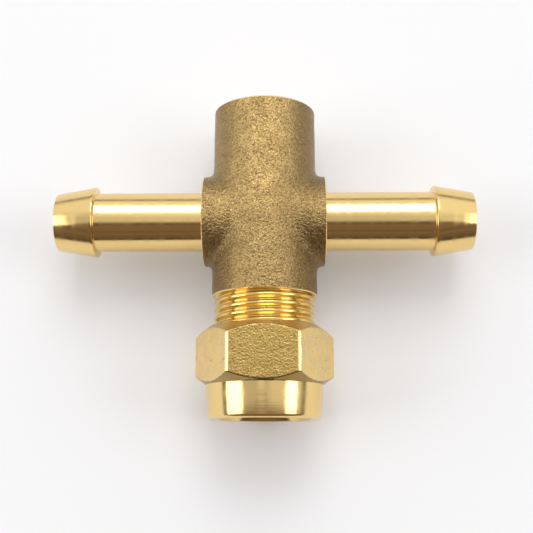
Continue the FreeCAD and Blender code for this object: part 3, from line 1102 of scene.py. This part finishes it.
scratch = ramp(tree, scratch, SCRATCH_START, SCRATCH_FULL, 0.0, SCRATCH_SHARE)
colour = blend_colour(tree, scratch, colour, SKIN)
rough = ramp(tree, rough_flat, 0.0, 1.0, 0.30, 0.37)
relief = maths(tree, "MULTIPLY", skin["Height"], ramp(tree, rough_flat, 0.0, 1.0, 0.15, 1.0))
brass("forged_brass", colour, rough, (
    (relief, FORGED_GRAIN_DEPTH), (nicks, FORGED_NICK_DEPTH), (scratch, SCRATCH_DEPTH),
))
print("finishes:", sorted(FINISHES))

# %% [markdown]
# ## Floor and light
#
# The part lies on a white board between two tall soft lamps, with a third above its
# far end. Bright metal shows whatever stands round it, so the lamps are placed by the
# angles at which the photograph's tails and barrel mirror them. The room is white, with a
# lighter strip overhead, and brown with faint streaks on the side towards the reader,
# which gives the tails their brown stripe. Along the horizon it is pale all round.

# %% White board
FLOOR_SIZE = 8.0
BOARD = (0.92, 0.93, 0.95)
BOARD_GLOW = 0.10
BOARD_ROUGHNESS = 0.85

bpy.ops.object.select_all(action="DESELECT")
bpy.ops.mesh.primitive_plane_add(size=FLOOR_SIZE)
board = bpy.context.object
board.name = "white_board"
board.data.materials.append(bpy.data.materials.new("board"))
board_material = board.data.materials[0]
board_material.use_nodes = True
tree = board_material.node_tree
surface = tree.nodes["Principled BSDF"]
surface.inputs["Base Color"].default_value = (*BOARD, 1)
surface.inputs["Roughness"].default_value = BOARD_ROUGHNESS
paths = put(tree, "LightPath").outputs
seen = maths(tree, "MAXIMUM", paths["Is Camera Ray"], paths["Is Glossy Ray"])
glow = put(tree, "Emission", {"Color": (1, 1, 1, 1), "Strength": 1.0}).outputs[0]
share = maths(tree, "MULTIPLY", seen, BOARD_GLOW)
shown = put(tree, "MixShader", {0: share, 1: surface.outputs[0], 2: glow}).outputs[0]
tree.links.new(shown, tree.nodes["Material Output"].inputs["Surface"])

# %% Lamps placed by the angles that they span, from straight up
LAMP_DISTANCE = 0.80
LAMP_LENGTH = 0.43
SIDE_SHIFT = -ALONG_BARREL * 0.036
FAR_SHIFT = ALONG_TAIL * 0.06


def lamp(name, side, near_angle, far_angle, shift, radiance):
    """A rectangular lamp that spans two angles from straight up, towards a side. Its
    length lies across that side, and the shift moves it along its length."""
    middle = math.radians(near_angle + far_angle) / 2
    width = 2 * LAMP_DISTANCE * math.tan(math.radians(far_angle - near_angle) / 2)
    away = side * math.sin(middle) + UP * math.cos(middle)
    light = bpy.data.lights.new(name, "AREA")
    light.shape = "RECTANGLE"
    light.size = LAMP_LENGTH
    light.size_y = width
    light.energy = radiance * math.pi * LAMP_LENGTH * width
    made = bpy.data.objects.new(name, light)
    bpy.context.scene.collection.objects.link(made)
    made.location = CROSSING + away * LAMP_DISTANCE + shift
    made.rotation_euler = away.to_track_quat("Z", "Y").to_euler()
    made.visible_camera = False
    print(f"{name}: {LAMP_LENGTH * 100:.0f} by {width * 100:.0f} cm, {light.energy:.2f} W")


lamp("left_lamp", -ALONG_TAIL, 43, 77, SIDE_SHIFT, 2.7)
lamp("right_lamp", ALONG_TAIL, 43, 66, SIDE_SHIFT, 2.7)
lamp("far_lamp", ALONG_BARREL, 25, 54, FAR_SHIFT, 3.2)

# %% World: a white room, lighter overhead and far off, brown on the near side
NEAR_SIDE = (-0.30, -0.18)
FAR_RISE = (0.0, 0.5, 0.0, 0.40)
LOW_DIMMING = (0.12, 0.32, 0.35, 1.0)
STRIP_SHIFT = 0.09
STRIP = (0.13, 0.05, 0.60, 0.80)
RIGHT_RISE = (0.08, 0.28, 0.0, 0.20)
BRIGHTEST = 1.05
STREAK_SCALE = 9.0
STREAK_STEP = (0.38, 0.62)
HORIZON = (0.045, 0.025)
ROOM_BROWN = (0.14, 0.12, 0.095)
ROOM_STREAK = (0.26, 0.17, 0.14)
ROOM_WHITE = (1.0, 0.995, 0.99)
HORIZON_WHITE = (0.95, 0.95, 0.95)

world = bpy.data.worlds.new("studio")
bpy.context.scene.world = world
world.use_nodes = True
tree = world.node_tree
direction = put(tree, "SeparateXYZ", {0: put(tree, "TexCoord").outputs["Generated"]}).outputs
near = ramp(tree, direction["Y"], *NEAR_SIDE)
far = ramp(tree, direction["Y"], *FAR_RISE)
low = ramp(tree, direction["Z"], *LOW_DIMMING)
gap = maths(tree, "ABSOLUTE", maths(tree, "ADD", direction["X"], STRIP_SHIFT))
above = maths(tree, "ADD", ramp(tree, gap, *STRIP), ramp(tree, direction["X"], *RIGHT_RISE))
above = maths(tree, "MINIMUM", maths(tree, "ADD", above, far), BRIGHTEST)
streak = put(tree, "TexNoise", {"W": direction["Z"], "Scale": STREAK_SCALE, "Detail": 2.0},
             noise_dimensions="1D").outputs["Fac"]
room = blend_colour(tree, ramp(tree, streak, *STREAK_STEP), ROOM_BROWN, ROOM_STREAK)
colour = blend_colour(tree, near, room, ROOM_WHITE)
level = maths(tree, "MAXIMUM", above, maths(tree, "SUBTRACT", 1.0, near))
horizon = ramp(tree, direction["Z"], *HORIZON)
colour = blend_colour(tree, horizon, colour, HORIZON_WHITE)
level = maths(tree, "MAXIMUM", maths(tree, "MULTIPLY", level, low), horizon)
backdrop = put(tree, "Background", {"Color": colour, "Strength": level}).outputs[0]
tree.links.new(backdrop, tree.nodes["World Output"].inputs["Surface"])
bpy.context.scene.view_settings.view_transform = "Standard"
